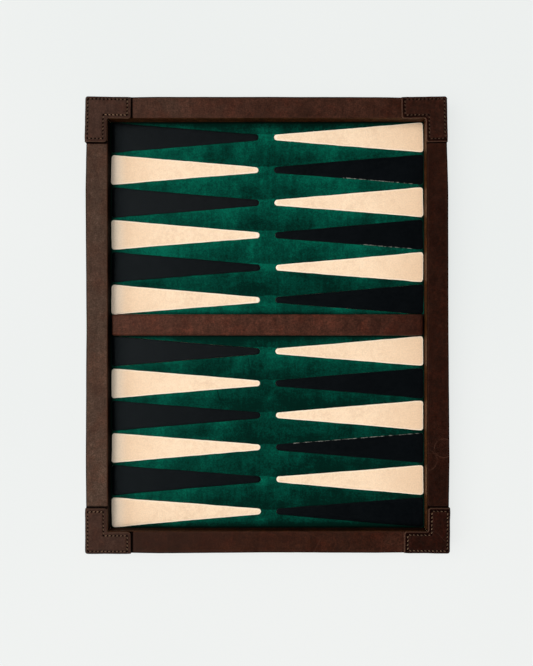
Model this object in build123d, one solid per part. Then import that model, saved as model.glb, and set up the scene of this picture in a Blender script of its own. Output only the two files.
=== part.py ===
from build123d import *

import math
import os

# Leather-bound tabletop backgammon board: a mitred wooden frame wrapped in leather, an inlaid leather
# playing surface on each side of a fixed bar, and a stitched leather patch over each corner.
# Millimetres. +X runs across the short side, +Y along the long side, +Z up.
# The origin is the middle of the underside.

# Driving dimensions
board_width = 403.6
board_length = 508.0
wrap_leather = 2.4
patch_leather = 1.2
core_side = 19.0
base_thickness = 6.4
lining_thickness = 1.0
wrap_flange_thickness = 1.2
rabbet_width = 9.5

# Softened edges
board_corner_radius = 1.8
wrap_edge_radius = 1.6
well_edge_radius = 1.0
lining_inset = 2.0
lining_corner_radius = 4.0

# Heights, from the table up
base_bottom = lining_thickness
base_top = base_bottom + base_thickness
field_top = base_top + wrap_leather
core_bottom = base_bottom + wrap_flange_thickness
core_top = core_bottom + core_side
rail_top = core_top + wrap_leather
patch_top = rail_top + patch_leather

# Two places nearer than this are one
same_place = 0.01

# Plan sizes
rail_width = core_side + 2 * wrap_leather
well_width = board_width - 2 * rail_width
well_length = board_length - 2 * rail_width
base_width = well_width + 2 * (wrap_leather + rabbet_width)
base_length = well_length + 2 * (wrap_leather + rabbet_width)

# Bar across the middle
bar_width = rail_width
bar_end_gap = 2.6
bar_length = well_width - 2 * bar_end_gap
bar_core_height = 6.5
bar_top = base_top + bar_core_height + wrap_leather
bar_edge_radius = 1.6
bar_corner_radius = 2.0

# Playing surfaces and their inlaid points
points_per_row = 6
field_length = (well_length - bar_width) / 2
point_pitch = 36.7
point_tip_gap = 17.8
point_base_margin = 0.9
point_length = (well_width - point_tip_gap) / 2 - point_base_margin
point_base_width = 33.5
point_corner_radius = 3.0
point_tip_radius = 3.4
inlay_clearance = 0.2

# Corner patches and their stitching
patch_leg = 50.0
patch_end_radius = 3.0
patch_notch_radius = 2.5
patch_well_inset = 0.4
patch_bottom = 1.6
patch_edge_radius = wrap_edge_radius + patch_leather
stitch_inset = 3.6
stitch_pitch = 4.23
stitch_length = 3.0
stitch_width = 0.9
stitch_depth = 0.5

# Wood screws and mitre splines
screw_shank_radius = 1.45
screw_head_radius = 2.8
screw_head_height = 1.6
rail_screw_length = 16.0
bar_screw_length = 10.0
screw_line_inset = rail_width - wrap_leather - rabbet_width / 2
side_screw_spacing = 170.0
end_screw_spacing = 200.0
bar_screw_spacing = 120.0
spline_length = 14.0
spline_width = 10.0
spline_thickness = 3.0

QUARTERS = {
    "ne": (1, 1),
    "nw": (-1, 1),
    "sw": (-1, -1),
    "se": (1, -1),
}


def slab(width, length, bottom, top):
    """A rectangular block centred on the board, between two heights."""
    block = Box(width, length, top - bottom, align=(Align.CENTER, Align.CENTER, Align.MIN))
    return Pos(0, 0, bottom) * block


def rounded_block(width, length, bottom, top, corner_radius, edge_radius):
    """A block with rounded upright corners and a rounded rim round its top face."""
    block = slab(width, length, bottom, top)
    block = fillet(block.edges().filter_by(Axis.Z), corner_radius)
    rim = block.faces().sort_by(Axis.Z)[-1].edges()
    return fillet(rim, edge_radius)


def mitre_wedge(side):
    """The tall prism over one rail, cut at 45 degrees through two corners of the board."""
    tall = 2 * patch_top
    far_x = board_width / 2
    far_y = board_length / 2
    near_x = well_width / 2
    near_y = well_length / 2
    corners = {
        "north": [(-far_x, far_y), (far_x, far_y), (near_x, near_y), (-near_x, near_y)],
        "south": [(-far_x, -far_y), (far_x, -far_y), (near_x, -near_y), (-near_x, -near_y)],
        "east": [(far_x, -far_y), (far_x, far_y), (near_x, near_y), (near_x, -near_y)],
        "west": [(-far_x, -far_y), (-far_x, far_y), (-near_x, near_y), (-near_x, -near_y)],
    }
    return extrude(Polygon(*corners[side], align=None), tall, dir=(0, 0, 1))


def wood_screw(x, y, length):
    """One countersunk wood screw, driven upwards from the underside of the base panel."""
    head = Cone(
        screw_head_radius,
        screw_shank_radius,
        screw_head_height,
        align=(Align.CENTER, Align.CENTER, Align.MIN),
    )
    shank = Cylinder(
        screw_shank_radius,
        length - screw_head_height,
        align=(Align.CENTER, Align.CENTER, Align.MIN),
    )
    return Pos(x, y, base_bottom) * (head + Pos(0, 0, screw_head_height) * shank)


def rail_screw_group():
    """Ten screws through the lip of the base panel: three up each long rail, two up each short one."""
    side_x = board_width / 2 - screw_line_inset
    end_y = board_length / 2 - screw_line_inset
    screws = []
    for hand in (-1, 1):
        for step in (-1, 0, 1):
            screws.append(wood_screw(hand * side_x, step * side_screw_spacing, rail_screw_length))
        for step in (-0.5, 0.5):
            screws.append(wood_screw(step * end_screw_spacing, hand * end_y, rail_screw_length))
    return screws


def bar_screw_group():
    """Three screws up through the base panel into the bar."""
    return [wood_screw(step * bar_screw_spacing, 0, bar_screw_length) for step in (-1, 0, 1)]


def mitre_spline(quarter):
    """A flat loose tongue across one mitre, halfway up the rails."""
    east, north = QUARTERS[quarter]
    middle_x = east * (board_width / 2 - rail_width / 2)
    middle_y = north * (board_length / 2 - rail_width / 2)
    middle_z = (base_top + core_top) / 2
    tongue = Box(spline_length, spline_width, spline_thickness)
    return Pos(middle_x, middle_y, middle_z) * Rot(0, 0, 45 * east * north) * tongue


def point_outline(clearance=0.0):
    """One tapering point with its base on the Y axis and its round tip towards +X."""
    corner_y = point_base_width / 2 - point_corner_radius
    tip = Circle(point_tip_radius + clearance)
    corner = Circle(point_corner_radius + clearance)
    discs = Pos(point_length - point_tip_radius, 0) * tip
    discs += Pos(point_corner_radius, corner_y) * corner
    discs += Pos(point_corner_radius, -corner_y) * corner
    return make_hull(discs.edges())


def point_places():
    """Number and place of every point, counted down the east side and back up the west side."""
    base_x = well_width / 2 - point_base_margin
    first_y = bar_width / 2 + field_length / 2 + (points_per_row - 1) / 2 * point_pitch
    north_rows = [first_y - row * point_pitch for row in range(points_per_row)]
    rows = north_rows + [-y for y in reversed(north_rows)]
    east_side = [Pos(base_x, y, base_top) * Rot(0, 0, 180) for y in rows]
    west_side = [Pos(-base_x, y, base_top) for y in reversed(rows)]
    return enumerate(east_side + west_side, start=1)


def vertices_at(outline, *places):
    """The outline's vertices that lie at the given places."""
    found = []
    for x, y in places:
        found += [v for v in outline.vertices() if math.hypot(v.X - x, v.Y - y) < same_place]
    return found


def patch_footprint():
    """The L of a corner patch over the north-east corner, before its outer edges are bent down."""
    outer_x = board_width / 2 + patch_leather
    outer_y = board_length / 2 + patch_leather
    inner_x = well_width / 2 + patch_well_inset
    inner_y = well_length / 2 + patch_well_inset
    end_x = board_width / 2 - patch_leg
    end_y = board_length / 2 - patch_leg
    outline = Polygon(
        (outer_x, outer_y),
        (end_x, outer_y),
        (end_x, inner_y),
        (inner_x, inner_y),
        (inner_x, end_y),
        (outer_x, end_y),
        align=None,
    )
    outline = fillet(vertices_at(outline, (end_x, inner_y), (inner_x, end_y)), patch_end_radius)
    return fillet(vertices_at(outline, (inner_x, inner_y)), patch_notch_radius)


def stitch_row(start, end):
    """Evenly spaced stitches along one straight run, as flat slots lying in the patch's top."""
    run_x = end[0] - start[0]
    run_y = end[1] - start[1]
    run = math.hypot(run_x, run_y)
    angle = math.degrees(math.atan2(run_y, run_x))
    count = max(1, round(run / stitch_pitch))
    stitch = extrude(SlotOverall(stitch_length, stitch_width), stitch_depth)
    row = []
    for index in range(count):
        along = (index + 0.5) / count
        place = Pos(start[0] + along * run_x, start[1] + along * run_y, patch_top - stitch_depth)
        row.append(place * Rot(0, 0, angle) * stitch)
    return row


def stitch_loop():
    """The closed line of stitching round the north-east patch, a little inside its edge."""
    outer_x = board_width / 2 - stitch_inset + patch_leather
    outer_y = board_length / 2 - stitch_inset + patch_leather
    inner_x = well_width / 2 + patch_well_inset + stitch_inset
    inner_y = well_length / 2 + patch_well_inset + stitch_inset
    end_x = board_width / 2 - patch_leg + stitch_inset
    end_y = board_length / 2 - patch_leg + stitch_inset
    corners = [
        (outer_x, outer_y),
        (end_x, outer_y),
        (end_x, inner_y),
        (inner_x, inner_y),
        (inner_x, end_y),
        (outer_x, end_y),
    ]
    stitches = []
    for start, end in zip(corners, corners[1:] + corners[:1]):
        stitches += stitch_row(start, end)
    return stitches


def to_quarter(shape, quarter):
    """Mirrors a north-east shape into another corner of the board."""
    east, north = QUARTERS[quarter]
    if east < 0:
        shape = mirror(shape, Plane.YZ)
    if north < 0:
        shape = mirror(shape, Plane.XZ)
    return shape


def save(name, shape):
    """Writes one named piece, or one group of identical pieces."""
    solids = shape if isinstance(shape, list) else [shape]
    export_step(Compound(children=[s for piece in solids for s in piece.solids()]), f"parts/{name}.step")


os.makedirs("parts", exist_ok=True)

rail_screws = rail_screw_group()
bar_screws = bar_screw_group()
splines = {quarter: mitre_spline(quarter) for quarter in QUARTERS}

# Base panel and the lining glued under it
base_panel = slab(base_width, base_length, base_bottom, base_top)
for screw in rail_screws + bar_screws:
    base_panel -= screw
save("base_panel", base_panel)

lining = slab(board_width - 2 * lining_inset, board_length - 2 * lining_inset, 0, lining_thickness)
lining = fillet(lining.edges().filter_by(Axis.Z), lining_corner_radius)
save("underside_lining", lining)

# Frame: four mitred cores, rabbeted for the base panel, and the leather wrapped round each
panel_room = slab(base_width, base_length, 0, base_top)
core_ring = slab(board_width - 2 * wrap_leather, board_length - 2 * wrap_leather, core_bottom, core_top)
core_ring -= slab(well_width + 2 * wrap_leather, well_length + 2 * wrap_leather, 0, patch_top)
wrapped_ring = rounded_block(
    board_width, board_length, base_bottom, rail_top, board_corner_radius, wrap_edge_radius
)
wrapped_ring -= slab(well_width, well_length, 0, patch_top)
top_edges = wrapped_ring.faces().sort_by(Axis.Z)[-1].inner_wires()
well_rim = [edge for wire in top_edges for edge in wire.edges()]
wrapped_ring = fillet(well_rim, well_edge_radius)
leather_ring = wrapped_ring - core_ring - panel_room
core_ring -= panel_room
for screw in rail_screws:
    core_ring -= screw
for spline in splines.values():
    core_ring -= spline
for side in ("north", "south", "east", "west"):
    save(f"{side}_rail_core", core_ring & mitre_wedge(side))
    save(f"{side}_rail_leather", leather_ring & mitre_wedge(side))
save("mitre_splines", list(splines.values()))
save("rail_screws", rail_screws)

# Bar: a core and a leather cover folded down over its sides and ends
bar_core_top = base_top + bar_core_height
bar_core = slab(bar_length - 2 * wrap_leather, bar_width - 2 * wrap_leather, base_top, bar_core_top)
bar_cover = rounded_block(bar_length, bar_width, base_top, bar_top, bar_corner_radius, bar_edge_radius)
bar_leather = bar_cover - bar_core
for screw in bar_screws:
    bar_core -= screw
save("bar_core", bar_core)
save("bar_leather", bar_leather)
save("bar_screws", bar_screws)

# Playing surfaces, cut out for their inlaid points
window = extrude(point_outline(inlay_clearance), wrap_leather)
inlay = extrude(point_outline(), wrap_leather)
field_y = (bar_width + field_length) / 2
fields = {}
for side, north in (("north", 1), ("south", -1)):
    fields[side] = Pos(0, north * field_y, 0) * slab(well_width, field_length, base_top, field_top)
for number, place in point_places():
    side = "north" if place.position.Y > 0 else "south"
    fields[side] -= place * window
    save(f"point_{number:02d}", place * inlay)
for side, field in fields.items():
    save(f"{side}_field_leather", field)

# Corner patches: an L of thin leather bent down over the outside of the frame, with its stitching
patch_block = rounded_block(
    board_width + 2 * patch_leather,
    board_length + 2 * patch_leather,
    patch_bottom,
    patch_top,
    board_corner_radius + patch_leather,
    patch_edge_radius,
)
board_room = rounded_block(board_width, board_length, 0, rail_top, board_corner_radius, wrap_edge_radius)
stitches = stitch_loop()
corner_patch = patch_block & extrude(patch_footprint(), 2 * patch_top)
corner_patch -= board_room
for stitch in stitches:
    corner_patch -= stitch
for quarter in QUARTERS:
    save(f"corner_patch_{quarter}", to_quarter(corner_patch, quarter))
    save(f"corner_stitching_{quarter}", [to_quarter(stitch, quarter) for stitch in stitches])
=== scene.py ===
"""Looks of the leather backgammon board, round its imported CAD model. Plain lengths are in millimetres."""

import functools
import math
import random
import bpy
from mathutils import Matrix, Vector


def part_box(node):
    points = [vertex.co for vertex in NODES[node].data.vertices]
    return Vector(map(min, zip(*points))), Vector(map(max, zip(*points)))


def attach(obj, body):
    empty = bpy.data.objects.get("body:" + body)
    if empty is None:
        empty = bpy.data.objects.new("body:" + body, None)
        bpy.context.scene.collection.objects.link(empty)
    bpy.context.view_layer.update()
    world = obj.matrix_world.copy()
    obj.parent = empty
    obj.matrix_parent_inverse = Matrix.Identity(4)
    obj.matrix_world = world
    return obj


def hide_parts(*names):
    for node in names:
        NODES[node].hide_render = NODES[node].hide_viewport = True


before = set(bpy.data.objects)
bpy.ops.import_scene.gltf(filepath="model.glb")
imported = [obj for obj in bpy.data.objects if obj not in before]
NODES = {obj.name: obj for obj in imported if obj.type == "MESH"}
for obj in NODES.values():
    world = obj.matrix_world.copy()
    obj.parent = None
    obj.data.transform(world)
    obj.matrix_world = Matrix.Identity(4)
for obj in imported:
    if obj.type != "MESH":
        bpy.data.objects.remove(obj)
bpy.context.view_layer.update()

from types import SimpleNamespace

import bmesh
import bpy
import numpy as np
from mathutils import Vector, noise
from mathutils.geometry import delaunay_2d_cdt

MM = 0.001
FAR = 1000.0
SIDES = ("north", "south", "east", "west")
QUARTERS = {"ne": (1, 1), "nw": (-1, 1), "sw": (-1, -1), "se": (1, -1)}


def box_mm(node):
    """Lowest and highest corner of a CAD node, in millimetres."""
    low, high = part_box(node)
    return np.array(low) / MM, np.array(high) / MM


# ---------------------------------------------------------------- shares and hills


def ramp(values, least=0.0, most=1.0):
    """The values held between two limits."""
    return np.clip(values, least, most)


def hill(offset, width):
    """A smooth hill: 1 where the offset is 0, and nearly 0 at twice the width."""
    return np.exp(-((offset / width) ** 2))


def two_skins(upper, lower=0.0):
    """Values for a sheet's upper skin, followed by one value for all of its lower skin."""
    return np.concatenate([upper, np.full(len(upper), lower)])


def noise_at(points, scale, seed):
    """Smooth noise in -1..1 at each point, with features about scale millimetres across."""
    shift = Vector((seed * 13.7, seed * 5.3, seed * 9.1))
    wide = np.zeros((len(points), 3))
    wide[:, : points.shape[1]] = points
    return np.array([noise.noise(Vector(p) / scale + shift) for p in wide])


# ---------------------------------------------------------------- flat shapes

EDGE_ROW_SLACK = 0.93
ROW_SPACING = 0.866
GRID_FROM_EDGE = 0.4
GRID_FROM_EXTRA = 0.55
EXTRA_FROM_EDGE = 0.12


def unit(vectors):
    """The vectors at length one."""
    return vectors / np.linalg.norm(vectors, axis=1, keepdims=True)


def outward(loop):
    """Outward normals of a counter-clockwise loop of points."""
    ahead = unit(np.roll(loop, -1, 0) - loop)
    along = unit(ahead + np.roll(ahead, 1, 0))
    return np.stack([along[:, 1], -along[:, 0]], 1)


def refine(loop, step):
    """The closed loop with its long runs divided into equal parts no longer than step."""
    found = []
    for here, ahead in zip(loop, np.roll(loop, -1, 0)):
        parts = max(1, math.ceil(np.linalg.norm(ahead - here) / step - 1e-6))
        found += [here + (ahead - here) * part / parts for part in range(parts)]
    return np.array(found)


def arc(centre, radius, start, end, count):
    """Points on an arc, angles in radians."""
    turns = np.linspace(start, end, count)
    return np.array(centre) + radius * np.column_stack([np.cos(turns), np.sin(turns)])


def rounded_loop(corners, step):
    """Counter-clockwise loop through (x, y, radius) corners, each rounded to its radius."""
    found = []
    spots = [np.array(corner[:2], float) for corner in corners]
    for index, corner in enumerate(corners):
        here, radius = spots[index], corner[2]
        back = unit((spots[index - 1] - here)[None])[0]
        ahead = unit((spots[(index + 1) % len(spots)] - here)[None])[0]
        if radius == 0:
            found.append(here)
            continue
        half = math.acos(float(np.clip(back @ ahead, -1, 1))) / 2
        centre = here + unit((back + ahead)[None])[0] * radius / math.sin(half)
        first = here + back * radius / math.tan(half)
        last = here + ahead * radius / math.tan(half)
        turns = max(3, math.ceil(radius * 2.5))
        for turn in range(turns + 1):
            spoke = (first - centre) * (turns - turn) + (last - centre) * turn
            found.append(centre + unit(spoke[None])[0] * radius)
    return refine(np.array(found), step)


def segments_of(loop):
    """One row x0, y0, x1, y1 for each side of a closed loop."""
    return np.hstack([loop, np.roll(loop, -1, 0)])


def distance_to(points, segments, chunk=400):
    """Distance from each point to the nearest segment."""
    start = segments[:, :2]
    run = segments[:, 2:] - start
    size = (run**2).sum(1)
    best = np.empty(len(points))
    for first in range(0, len(points), chunk):
        away = points[first : first + chunk, None, :] - start[None]
        share = np.clip((away * run[None]).sum(2) / size, 0, 1)
        gap = away - share[..., None] * run[None]
        best[first : first + chunk] = np.sqrt((gap**2).sum(2).min(1))
    return best


def nearest(points, others, chunk=500):
    """Distance from each point to the nearest of the others."""
    best = np.empty(len(points))
    for first in range(0, len(points), chunk):
        gap = points[first : first + chunk, None, :] - others[None]
        best[first : first + chunk] = np.sqrt((gap**2).sum(2).min(1))
    return best


def inside(points, loop):
    """Which points lie inside a closed loop."""
    found = np.zeros(len(points), bool)
    low, high = loop.min(0), loop.max(0)
    near = np.where(((points >= low) & (points <= high)).all(1))[0]
    x, y = points[near, 0:1], points[near, 1:2]
    x0, y0 = loop[:, 0], loop[:, 1]
    x1, y1 = np.roll(loop, -1, 0).T
    rise = np.where(y1 == y0, 1, y1 - y0)
    crosses = ((y0 > y) != (y1 > y)) & (x < x0 + (y - y0) * (x1 - x0) / rise)
    found[near] = crosses.sum(1) % 2 == 1
    return found


def within(points, outline, holes):
    """Which points lie on the sheet: inside its outline and outside its holes."""
    keep = inside(points, outline)
    for hole in holes:
        keep &= ~inside(points, hole)
    return keep


def flat_mesh(outline, holes, rings, step, extra=None):
    """Points and triangles that fill an outline less its holes.

    Rows of points follow every edge at the ring distances, and extra gives more points where needed."""
    loops = [outline, *holes]
    edge = np.vstack([segments_of(loop) for loop in loops])

    def kept(spots, gap):
        """The spots that lie on the sheet, more than gap away from its edges."""
        spots = spots[within(spots, outline, holes)]
        return spots[distance_to(spots, edge) > gap]

    links = []
    first = 0
    for loop in loops:
        links += [(first + i, first + (i + 1) % len(loop)) for i in range(len(loop))]
        first += len(loop)
    parts = list(loops)
    for ring in rings:
        for index, loop in enumerate(loops):
            inward = -1 if index == 0 else 1
            parts.append(kept(loop + outward(loop) * inward * ring, ring * EDGE_ROW_SLACK))
    low, high = outline.min(0), outline.max(0)
    rows = enumerate(np.arange(low[1], high[1], step * ROW_SPACING))
    columns = np.arange(low[0], high[0], step)
    grid = np.array([(x + (row % 2) * step / 2, y) for row, y in rows for x in columns])
    grid = kept(grid, rings[-1] + step * GRID_FROM_EDGE)
    if extra is not None:
        extra = kept(extra, rings[-1] + EXTRA_FROM_EDGE)
        grid = grid[nearest(grid, extra) > step * GRID_FROM_EXTRA]
        parts.append(extra)
    points = np.vstack([*parts, grid])
    result = delaunay_2d_cdt([Vector(p) for p in points], links, [], 0, 1e-5, False)
    spots = np.array([(v[0], v[1]) for v in result[0]])
    faces = np.array(result[2])
    return spots, faces[within(spots[faces].mean(1), outline, holes)]


def rim_of(faces):
    """The directed edges that only one triangle has."""
    edges = {(int(a), int(b)) for face in faces for a, b in zip(face, np.roll(face, -1))}
    return sorted(edge for edge in edges if edge[::-1] not in edges)


# ---------------------------------------------------------------- pieces


def make_piece(name, points, faces, material, stands_for, marks=None, sharp=35, merge=0.0):
    """A mesh object that rides on the board and stands for CAD nodes. marks are values kept at its points."""
    mesh = bpy.data.meshes.new(name)
    mesh.from_pydata((np.asarray(points) * MM).tolist(), [], [tuple(int(i) for i in face) for face in faces])
    for label, values in (marks or {}).items():
        layer = mesh.attributes.new(label, "FLOAT", "POINT")
        layer.data.foreach_set("value", np.asarray(values, float))
    shape = bmesh.new()
    shape.from_mesh(mesh)
    if merge:
        bmesh.ops.remove_doubles(shape, verts=shape.verts, dist=merge * MM)
    bmesh.ops.recalc_face_normals(shape, faces=shape.faces)
    for face in shape.faces:
        face.smooth = True
    shape.to_mesh(mesh)
    shape.free()
    mesh.set_sharp_from_angle(angle=math.radians(sharp))
    obj = bpy.data.objects.new(name, mesh)
    bpy.context.scene.collection.objects.link(obj)
    mesh.materials.append(material)
    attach(obj, "root")
    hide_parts(*stands_for)
    return obj


def matt_where_dark(piece, material, top):
    """Gives the places near a piece's top where its painted shade is strongest a matt material, so that sheen
    does not lighten them.
    """
    mesh = piece.data
    mesh.materials.append(material)
    index = len(mesh.materials) - 1
    dark = np.empty(len(mesh.vertices))
    mesh.attributes["dark"].data.foreach_get("value", dark)
    for polygon in mesh.polygons:
        if polygon.center[2] / MM > top - 1.6 and dark[list(polygon.vertices)].mean() > 0.4:
            polygon.material_index = index


def closed_solid(upper, lower, faces, rim):
    """Points and faces of two matching skins, joined by a wall along the rim."""
    count = len(upper)
    walls = [(b, a, a + count, b + count) for a, b in rim]
    solid = list(map(tuple, faces)) + [tuple(face[::-1] + count) for face in faces] + walls
    return np.vstack([upper, lower]), solid


def flat_sheet(spots, faces, upper, lower):
    """Points and faces of a flat sheet with the given upper and lower heights."""
    skins = [np.column_stack([spots, np.zeros(len(spots)) + height]) for height in (upper, lower)]
    return closed_solid(*skins, faces, rim_of(faces))


def swept_faces(rows, count):
    """Faces of a bar swept through rows of count points, closed at both ends."""
    faces = []
    for row in range(rows - 1):
        here, above = row * count, (row + 1) * count
        for step in range(count):
            ahead = (step + 1) % count
            faces.append((here + step, here + ahead, above + ahead, above + step))
    return faces + [tuple(range(count)), tuple(range((rows - 1) * count, rows * count))[::-1]]


def cut_edge(distance, depth, width):
    """Height lost near a cut edge, rounded like a quarter of an ellipse."""
    share = ramp(1 - distance / width)
    return depth * (1 - np.sqrt(1 - share**2))


# ---------------------------------------------------------------- materials


class Finish:
    """Short calls that build one procedural material."""

    def __init__(self, name):
        self.material = bpy.data.materials.new(name)
        self.material.use_nodes = True
        self.tree = self.material.node_tree
        self.shader = self.tree.nodes["Principled BSDF"]
        self.place = self.add("ShaderNodeTexCoord").outputs["Object"]

    def add(self, kind, **settings):
        node = self.tree.nodes.new(kind)
        for key, value in settings.items():
            setattr(node, key, value)
        return node

    def feed(self, socket, value):
        if isinstance(value, bpy.types.NodeSocket):
            self.tree.links.new(value, socket)
        elif isinstance(value, tuple) and len(value) == 3 and socket.type == "RGBA":
            socket.default_value = (*value, 1.0)
        else:
            socket.default_value = value

    def across(self):
        """The board's own x and y at each place, in metres."""
        split = self.add("ShaderNodeSeparateXYZ")
        self.feed(split.inputs[0], self.place)
        return split.outputs["X"], split.outputs["Y"]

    def stretched(self, factors, turn=0.0):
        """Texture place scaled unevenly, for streaks."""
        node = self.add("ShaderNodeMapping")
        self.feed(node.inputs["Vector"], self.place)
        node.inputs["Scale"].default_value = factors
        node.inputs["Rotation"].default_value = (0, 0, turn)
        return node.outputs["Vector"]

    def noise(self, size, detail=3.0, rough=0.55, warp=0.0, place=None):
        """Cloudy noise in 0..1 with features about size millimetres across."""
        node = self.add("ShaderNodeTexNoise")
        self.feed(node.inputs["Vector"], place or self.place)
        node.inputs["Scale"].default_value = 1 / (size * MM)
        node.inputs["Detail"].default_value = detail
        node.inputs["Roughness"].default_value = rough
        node.inputs["Distortion"].default_value = warp
        return node.outputs["Fac"]

    def cells(self, size, feature="F1"):
        """Distance in a pattern of cells about size millimetres across."""
        node = self.add("ShaderNodeTexVoronoi", feature=feature)
        self.feed(node.inputs["Vector"], self.place)
        node.inputs["Scale"].default_value = 1 / (size * MM)
        return node.outputs["Distance"]

    def fit(self, value, low, high, to_low=0.0, to_high=1.0):
        """The value mapped from one range to another, and held inside it."""
        node = self.add("ShaderNodeMapRange", interpolation_type="SMOOTHSTEP")
        for socket, given in zip(node.inputs, (value, low, high, to_low, to_high)):
            self.feed(socket, given)
        return node.outputs["Result"]

    def cloud(self, size, to_low=0.0, to_high=1.0, *kind, span=(0.3, 0.7)):
        """Noise whose span is mapped to a range of values. kind is its detail, roughness, warp and place."""
        return self.fit(self.noise(size, *kind), *span, to_low, to_high)

    def math(self, kind, first, second=0.0):
        node = self.add("ShaderNodeMath", operation=kind)
        self.feed(node.inputs[0], first)
        self.feed(node.inputs[1], second)
        return node.outputs[0]

    def plus(self, *values):
        return functools.reduce(functools.partial(self.math, "ADD"), values)

    def minus(self, first, second):
        return self.math("SUBTRACT", first, second)

    def times(self, *values):
        return functools.reduce(functools.partial(self.math, "MULTIPLY"), values)

    def mark(self, label):
        """A value kept at the mesh's points."""
        return self.add("ShaderNodeAttribute", attribute_name=label).outputs["Fac"]

    def mix(self, share, first, second, blend="MIX"):
        """The first colour turned into the second by share."""
        node = self.add("ShaderNodeMix", data_type="RGBA", blend_type=blend)
        self.feed(node.inputs["Factor"], share)
        self.feed(node.inputs[6], first)
        self.feed(node.inputs[7], second)
        return node.outputs[2]

    def bump(self, height, depth, below=None):
        """Surface relief of the given depth in millimetres."""
        node = self.add("ShaderNodeBump")
        node.inputs["Distance"].default_value = depth * MM
        self.feed(node.inputs["Height"], height)
        if below is not None:
            self.feed(node.inputs["Normal"], below)
        return node.outputs["Normal"]

    def finish(self, colour, roughness, normal, **values):
        self.feed(self.shader.inputs["Base Color"], colour)
        self.feed(self.shader.inputs["Roughness"], roughness)
        self.feed(self.shader.inputs["Normal"], normal)
        for name, value in values.items():
            self.feed(self.shader.inputs[name.replace("_", " ")], value)
        return self.material


def leather_grain(f, pebble, depth):
    """Relief of smooth leather: fine pebbles, pores and soft undulation."""
    pores = f.fit(f.cells(pebble * 2.3), 0.0, 0.22)
    normal = f.bump(f.noise(14, 3), depth * 6)
    normal = f.bump(f.cells(pebble), depth, normal)
    return f.bump(pores, depth * 0.6, normal)


def pressed_ring(f, ring):
    """How strongly each place lies on a faint ring; ring is its centre x and y and its radius."""
    x, y, radius = ring
    distance = f.add("ShaderNodeVectorMath", operation="DISTANCE")
    f.feed(distance.inputs[0], f.stretched((1.0, 1.0, 0.0)))
    distance.inputs[1].default_value = (x * MM, y * MM, 0.0)
    off = f.math("ABSOLUTE", f.minus(distance.outputs["Value"], radius * MM))
    broken = f.cloud(7.0, 0.25, 1.0, 2, span=(0.35, 0.6))
    return f.times(f.fit(off, 0.2 * MM, 1.1 * MM, 1.0, 0.0), broken)


BROWN_SHADOW = (0.002, 0.001, 0.0008)
BROWN_REDDENING = (1.0, 0.66, 0.55)
BROWN_SHEEN = (1.0, 0.57, 0.41)
RAIL_TONES = (
    (0.008, 0.0014, 0.0005),
    (0.019, 0.0044, 0.0018),
    (0.031, 0.0107, 0.0064),
    (0.0435, 0.0265, 0.018),
)
RAIL_RUBBED_AND_HIGHLIGHT = (0.05, 0.019, 0.011)
RAIL_RAW = (0.05, 0.022, 0.013)
# Painted light on the well walls: warmer and brighter than the rail's top, for the light that falls and
# bounces on them
WELL_LIT_TONES = ((0.036, 0.0121, 0.0036), (0.045, 0.016, 0.005), (0.056, 0.021, 0.0068), (0.06, 0.023, 0.008))
WELL_RUBBED_AND_HIGHLIGHT = (0.08, 0.035, 0.014)
PATCH_TONES = (
    (0.0095, 0.0012, 0.0004),
    (0.018, 0.005, 0.0028),
    (0.0215, 0.0098, 0.007),
    (0.03, 0.016, 0.012),
)
PATCH_RUBBED = (0.06, 0.027, 0.0175)
PATCH_RAW = (0.1, 0.055, 0.034)
BAR_TONES = ((0.02, 0.0045, 0.0025), (0.034, 0.01, 0.006), (0.05, 0.016, 0.0095), (0.06, 0.025, 0.018))
BAR_RUBBED = (0.075, 0.028, 0.017)
RINGS = ((196.2, -137.7, 10.4), (177.0, -151.0, 11.7), (-202.8, 154.3, 7.3))


def brown_leather(name, tones, rubbed_and_highlight, raw, gloss=0.3, red=0.6, rings=()):
    """Waxed pull-up leather that lightens where it is rubbed and where a highlight is painted, and turns to
    painted shade by its dark mark; raw is the colour of its cut edge.

    tones are the colours at tone marks 0, 0.5, 1 and 1.5."""
    f = Finish(name)
    level = f.plus(f.cloud(70, -0.15, 0.15, 4, 0.6, 0.4), f.mark("tone"))
    colour = tones[0]
    for step, tone in enumerate(tones[1:]):
        colour = f.mix(f.fit(level, step / 2, (step + 1) / 2), colour, tone)
    patches = f.cloud(16, 0.72, 1.36, 5, 0.65, 0.8, span=(0.3, 0.75))
    streaks = f.cloud(5, 0.84, 1.16, 3, 0.6, 0.3, f.stretched((1.0, 0.15, 1.0), 0.9))
    mottle = f.cloud(4, 0.72, 1.28, 4, 0.7, 0.5)
    specks = f.cloud(1.7, 0.6, 1.4, 3, 0.75, span=(0.36, 0.64))
    colour = f.mix(1.0, colour, f.times(patches, streaks, mottle, specks), "MULTIPLY")
    colour = f.mix(f.cloud(17, 0.0, red, 3, 0.6, span=(0.45, 0.66)), colour, BROWN_REDDENING, "MULTIPLY")
    veins = f.fit(f.cells(38, "DISTANCE_TO_EDGE"), 0.0, 0.012, 0.35, 0.0)
    colour = f.mix(f.times(veins, f.cloud(25, 0.0, 1.0, 2, span=(0.5, 0.65))), colour, rubbed_and_highlight)
    # Lighter where rubbed, and on the rails' inner bends partly a painted highlight
    worn_and_highlit = f.times(f.mark("wear_and_highlight"), f.cloud(6, 0.35, 1.0, 3, span=(0.2, 0.7)))
    colour = f.mix(worn_and_highlit, colour, rubbed_and_highlight)
    normal = leather_grain(f, 0.75, 0.05)
    for ring in rings:
        pressed = pressed_ring(f, ring)
        colour = f.mix(f.times(pressed, 0.5), colour, rubbed_and_highlight)
        normal = f.bump(f.minus(1.0, pressed), 0.1, normal)
    # Painted shade: the dark mark turns the colour towards BROWN_SHADOW
    colour = f.mix(f.mark("dark"), colour, BROWN_SHADOW)
    colour = f.mix(f.mark("raw"), colour, raw)
    rough = f.plus(f.cloud(5, 0.36, 0.54, 5, 0.7, span=(0.25, 0.75)), f.times(f.mark("dark"), 0.45))
    return f.finish(colour, rough, normal, Specular_IOR_Level=gloss, Specular_Tint=BROWN_SHEEN)


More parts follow.
